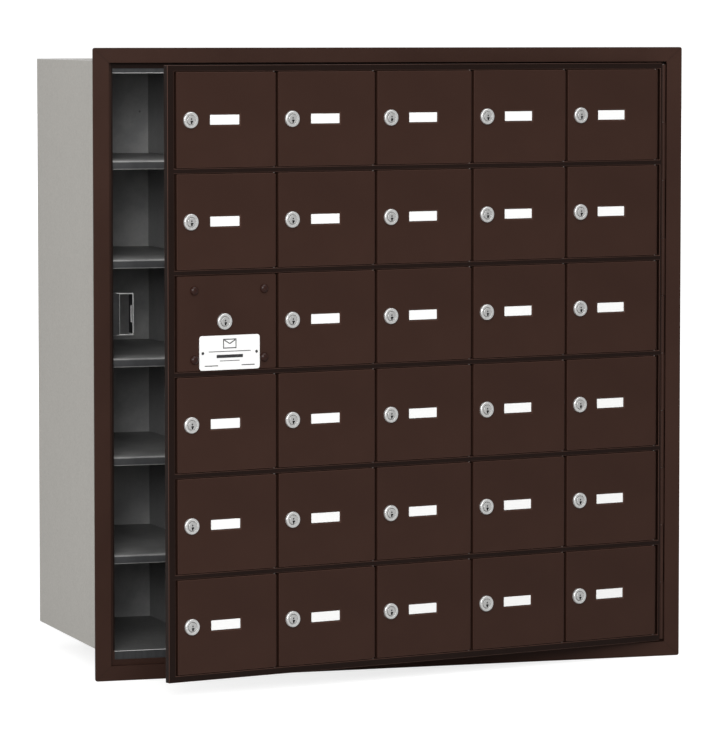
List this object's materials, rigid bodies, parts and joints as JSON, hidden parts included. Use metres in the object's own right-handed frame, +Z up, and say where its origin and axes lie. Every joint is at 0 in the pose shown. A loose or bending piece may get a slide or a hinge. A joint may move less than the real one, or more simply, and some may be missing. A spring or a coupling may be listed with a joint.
{
  "type": "cluster mailbox unit",
  "caption": "Recessed wall mailbox bank: sheet-metal compartments behind one framed master door that carries a grid of locking tenant doors.",
  "frame": {"origin": "on the wall plane, on the unit's centre line, at mid-height of the bottom trim flange's back face", "axes": "+Z up, +X to the right seen from the front, the front faces -Y and +Y goes into the wall"},
  "size_m": [0.848, 0.5777, 0.8545],
  "materials": {
    "bronze_paint": "satin powder coat",
    "cabinet_metal": "dull mill finish",
    "inner_metal": "dark galvanised",
    "lock_metal": "satin nickel",
    "label_plate": "white enamel"
  },
  "bodies": {
    "cabinet": {"trim_frame": "bronze_paint", "cabinet_shell": "cabinet_metal", "cabinet_back": "inner_metal", "strike_keeper": "inner_metal", "hinge_leaf_trim": "bronze_paint", "hinge_pin": "lock_metal", "partition_1": "inner_metal", "partition_2": "inner_metal", "partition_3": "inner_metal", "partition_4": "inner_metal", "shelf_1": "inner_metal", "shelf_2": "inner_metal", "shelf_3": "inner_metal", "shelf_4": "inner_metal", "shelf_5": "inner_metal"},
    "master_door": {"master_door_frame": "bronze_paint", "hinge_leaf_door": "bronze_paint", "master_lock_panel": "bronze_paint", "master_lock_case": "inner_metal", "id_plate": "label_plate", "panel_bolt_1": "bronze_paint", "panel_bolt_2": "bronze_paint", "panel_bolt_3": "bronze_paint", "panel_bolt_4": "bronze_paint"},
    "master_lock_plug": {"master_lock_plug": "lock_metal"},
    "master_lock_bolt": {"master_lock_bolt": "inner_metal"},
    "tenant_door_r1c1": {"tenant_door_r1c1": "bronze_paint"},
    "tenant_door_r1c2": {"tenant_door_r1c2": "bronze_paint"},
    "tenant_door_r1c3": {"tenant_door_r1c3": "bronze_paint"},
    "tenant_door_r1c4": {"tenant_door_r1c4": "bronze_paint"},
    "tenant_door_r1c5": {"tenant_door_r1c5": "bronze_paint"},
    "tenant_door_r2c1": {"tenant_door_r2c1": "bronze_paint"},
    "tenant_door_r2c2": {"tenant_door_r2c2": "bronze_paint"},
    "tenant_door_r2c3": {"tenant_door_r2c3": "bronze_paint"},
    "tenant_door_r2c4": {"tenant_door_r2c4": "bronze_paint"},
    "tenant_door_r2c5": {"tenant_door_r2c5": "bronze_paint"},
    "tenant_door_r3c2": {"tenant_door_r3c2": "bronze_paint"},
    "tenant_door_r3c3": {"tenant_door_r3c3": "bronze_paint"},
    "tenant_door_r3c4": {"tenant_door_r3c4": "bronze_paint"},
    "tenant_door_r3c5": {"tenant_door_r3c5": "bronze_paint"},
    "tenant_door_r4c1": {"tenant_door_r4c1": "bronze_paint"},
    "tenant_door_r4c2": {"tenant_door_r4c2": "bronze_paint"},
    "tenant_door_r4c3": {"tenant_door_r4c3": "bronze_paint"},
    "tenant_door_r4c4": {"tenant_door_r4c4": "bronze_paint"},
    "tenant_door_r4c5": {"tenant_door_r4c5": "bronze_paint"},
    "tenant_door_r5c1": {"tenant_door_r5c1": "bronze_paint"},
    "tenant_door_r5c2": {"tenant_door_r5c2": "bronze_paint"},
    "tenant_door_r5c3": {"tenant_door_r5c3": "bronze_paint"},
    "tenant_door_r5c4": {"tenant_door_r5c4": "bronze_paint"},
    "tenant_door_r5c5": {"tenant_door_r5c5": "bronze_paint"},
    "tenant_door_r6c1": {"tenant_door_r6c1": "bronze_paint"},
    "tenant_door_r6c2": {"tenant_door_r6c2": "bronze_paint"},
    "tenant_door_r6c3": {"tenant_door_r6c3": "bronze_paint"},
    "tenant_door_r6c4": {"tenant_door_r6c4": "bronze_paint"},
    "tenant_door_r6c5": {"tenant_door_r6c5": "bronze_paint"},
    "tenant_lock_r1c1": {"tenant_lock_r1c1": "lock_metal"},
    "tenant_lock_r2c1": {"tenant_lock_r2c1": "lock_metal"},
    "tenant_lock_r4c1": {"tenant_lock_r4c1": "lock_metal"},
    "tenant_lock_r5c1": {"tenant_lock_r5c1": "lock_metal"},
    "tenant_lock_r6c1": {"tenant_lock_r6c1": "lock_metal"}
  },
  "joints": [
    {"name": "master_door_hinge", "type": "hinge", "parent": "cabinet", "child": "master_door", "pos_m": [0.3975, -0.001, 0.41725], "axis": [0, 0, 1], "range_deg": [-14, 86]},
    {"name": "master_lock_turn", "type": "hinge", "parent": "master_door", "child": "master_lock_plug", "pos_m": [-0.29316, -0.1732, 0.4859], "axis": [-0.2419, 0.9703, 0], "range_deg": [0, 90]},
    {"name": "master_bolt_slide", "type": "slide", "parent": "master_door", "child": "master_lock_bolt", "axis": [-0.9703, -0.2419, 0], "range_m": [0, 0.0199]},
    {"name": "tenant_lock_r1c1_turn", "type": "hinge", "parent": "tenant_door_r1c1", "child": "tenant_lock_r1c1", "pos_m": [-0.34235, -0.18546, 0.751], "axis": [-0.2419, 0.9703, 0], "range_deg": [0, 90]},
    {"name": "tenant_lock_r2c1_turn", "type": "hinge", "parent": "tenant_door_r2c1", "child": "tenant_lock_r2c1", "pos_m": [-0.34235, -0.18546, 0.61765], "axis": [-0.2419, 0.9703, 0], "range_deg": [0, 90]},
    {"name": "tenant_lock_r4c1_turn", "type": "hinge", "parent": "tenant_door_r4c1", "child": "tenant_lock_r4c1", "pos_m": [-0.34235, -0.18546, 0.35095], "axis": [-0.2419, 0.9703, 0], "range_deg": [0, 90]},
    {"name": "tenant_lock_r5c1_turn", "type": "hinge", "parent": "tenant_door_r5c1", "child": "tenant_lock_r5c1", "pos_m": [-0.34235, -0.18546, 0.2176], "axis": [-0.2419, 0.9703, 0], "range_deg": [0, 90]},
    {"name": "tenant_lock_r6c1_turn", "type": "hinge", "parent": "tenant_door_r6c1", "child": "tenant_lock_r6c1", "pos_m": [-0.34235, -0.18546, 0.08425], "axis": [-0.2419, 0.9703, 0], "range_deg": [0, 90]},
    {"name": "tenant_door_r1c1_hinge", "type": "hinge", "parent": "master_door", "child": "tenant_door_r1c1", "pos_m": [-0.21767, -0.15438, 0.751], "axis": [0, 0, 1], "range_deg": [0, 95]},
    {"name": "tenant_door_r1c2_hinge", "type": "hinge", "parent": "master_door", "child": "tenant_door_r1c2", "pos_m": [-0.06727, -0.11688, 0.751], "axis": [0, 0, 1], "range_deg": [0, 95]},
    {"name": "tenant_door_r1c3_hinge", "type": "hinge", "parent": "master_door", "child": "tenant_door_r1c3", "pos_m": [0.08312, -0.07938, 0.751], "axis": [0, 0, 1], "range_deg": [0, 95]},
    {"name": "tenant_door_r1c4_hinge", "type": "hinge", "parent": "master_door", "child": "tenant_door_r1c4", "pos_m": [0.23352, -0.04188, 0.751], "axis": [0, 0, 1], "range_deg": [0, 95]},
    {"name": "tenant_door_r1c5_hinge", "type": "hinge", "parent": "master_door", "child": "tenant_door_r1c5", "pos_m": [0.38392, -0.00439, 0.751], "axis": [0, 0, 1], "range_deg": [0, 95]},
    {"name": "tenant_door_r2c1_hinge", "type": "hinge", "parent": "master_door", "child": "tenant_door_r2c1", "pos_m": [-0.21767, -0.15438, 0.61765], "axis": [0, 0, 1], "range_deg": [0, 95]},
    {"name": "tenant_door_r2c2_hinge", "type": "hinge", "parent": "master_door", "child": "tenant_door_r2c2", "pos_m": [-0.06727, -0.11688, 0.61765], "axis": [0, 0, 1], "range_deg": [0, 95]},
    {"name": "tenant_door_r2c3_hinge", "type": "hinge", "parent": "master_door", "child": "tenant_door_r2c3", "pos_m": [0.08312, -0.07938, 0.61765], "axis": [0, 0, 1], "range_deg": [0, 95]},
    {"name": "tenant_door_r2c4_hinge", "type": "hinge", "parent": "master_door", "child": "tenant_door_r2c4", "pos_m": [0.23352, -0.04188, 0.61765], "axis": [0, 0, 1], "range_deg": [0, 95]},
    {"name": "tenant_door_r2c5_hinge", "type": "hinge", "parent": "master_door", "child": "tenant_door_r2c5", "pos_m": [0.38392, -0.00439, 0.61765], "axis": [0, 0, 1], "range_deg": [0, 95]},
    {"name": "tenant_door_r3c2_hinge", "type": "hinge", "parent": "master_door", "child": "tenant_door_r3c2", "pos_m": [-0.06727, -0.11688, 0.4843], "axis": [0, 0, 1], "range_deg": [0, 95]},
    {"name": "tenant_door_r3c3_hinge", "type": "hinge", "parent": "master_door", "child": "tenant_door_r3c3", "pos_m": [0.08312, -0.07938, 0.4843], "axis": [0, 0, 1], "range_deg": [0, 95]},
    {"name": "tenant_door_r3c4_hinge", "type": "hinge", "parent": "master_door", "child": "tenant_door_r3c4", "pos_m": [0.23352, -0.04188, 0.4843], "axis": [0, 0, 1], "range_deg": [0, 95]},
    {"name": "tenant_door_r3c5_hinge", "type": "hinge", "parent": "master_door", "child": "tenant_door_r3c5", "pos_m": [0.38392, -0.00439, 0.4843], "axis": [0, 0, 1], "range_deg": [0, 95]},
    {"name": "tenant_door_r4c1_hinge", "type": "hinge", "parent": "master_door", "child": "tenant_door_r4c1", "pos_m": [-0.21767, -0.15438, 0.35095], "axis": [0, 0, 1], "range_deg": [0, 95]},
    {"name": "tenant_door_r4c2_hinge", "type": "hinge", "parent": "master_door", "child": "tenant_door_r4c2", "pos_m": [-0.06727, -0.11688, 0.35095], "axis": [0, 0, 1], "range_deg": [0, 95]},
    {"name": "tenant_door_r4c3_hinge", "type": "hinge", "parent": "master_door", "child": "tenant_door_r4c3", "pos_m": [0.08312, -0.07938, 0.35095], "axis": [0, 0, 1], "range_deg": [0, 95]},
    {"name": "tenant_door_r4c4_hinge", "type": "hinge", "parent": "master_door", "child": "tenant_door_r4c4", "pos_m": [0.23352, -0.04188, 0.35095], "axis": [0, 0, 1], "range_deg": [0, 95]},
    {"name": "tenant_door_r4c5_hinge", "type": "hinge", "parent": "master_door", "child": "tenant_door_r4c5", "pos_m": [0.38392, -0.00439, 0.35095], "axis": [0, 0, 1], "range_deg": [0, 95]},
    {"name": "tenant_door_r5c1_hinge", "type": "hinge", "parent": "master_door", "child": "tenant_door_r5c1", "pos_m": [-0.21767, -0.15438, 0.2176], "axis": [0, 0, 1], "range_deg": [0, 95]},
    {"name": "tenant_door_r5c2_hinge", "type": "hinge", "parent": "master_door", "child": "tenant_door_r5c2", "pos_m": [-0.06727, -0.11688, 0.2176], "axis": [0, 0, 1], "range_deg": [0, 95]},
    {"name": "tenant_door_r5c3_hinge", "type": "hinge", "parent": "master_door", "child": "tenant_door_r5c3", "pos_m": [0.08312, -0.07938, 0.2176], "axis": [0, 0, 1], "range_deg": [0, 95]},
    {"name": "tenant_door_r5c4_hinge", "type": "hinge", "parent": "master_door", "child": "tenant_door_r5c4", "pos_m": [0.23352, -0.04188, 0.2176], "axis": [0, 0, 1], "range_deg": [0, 95]},
    {"name": "tenant_door_r5c5_hinge", "type": "hinge", "parent": "master_door", "child": "tenant_door_r5c5", "pos_m": [0.38392, -0.00439, 0.2176], "axis": [0, 0, 1], "range_deg": [0, 95]},
    {"name": "tenant_door_r6c1_hinge", "type": "hinge", "parent": "master_door", "child": "tenant_door_r6c1", "pos_m": [-0.21767, -0.15438, 0.08425], "axis": [0, 0, 1], "range_deg": [0, 95]},
    {"name": "tenant_door_r6c2_hinge", "type": "hinge", "parent": "master_door", "child": "tenant_door_r6c2", "pos_m": [-0.06727, -0.11688, 0.08425], "axis": [0, 0, 1], "range_deg": [0, 95]},
    {"name": "tenant_door_r6c3_hinge", "type": "hinge", "parent": "master_door", "child": "tenant_door_r6c3", "pos_m": [0.08312, -0.07938, 0.08425], "axis": [0, 0, 1], "range_deg": [0, 95]},
    {"name": "tenant_door_r6c4_hinge", "type": "hinge", "parent": "master_door", "child": "tenant_door_r6c4", "pos_m": [0.23352, -0.04188, 0.08425], "axis": [0, 0, 1], "range_deg": [0, 95]},
    {"name": "tenant_door_r6c5_hinge", "type": "hinge", "parent": "master_door", "child": "tenant_door_r6c5", "pos_m": [0.38392, -0.00439, 0.08425], "axis": [0, 0, 1], "range_deg": [0, 95]}
  ],
  "couplings": [
    {"joint": "master_bolt_slide", "follows": "master_lock_turn", "m_per_rad": 0.012605}
  ]
}
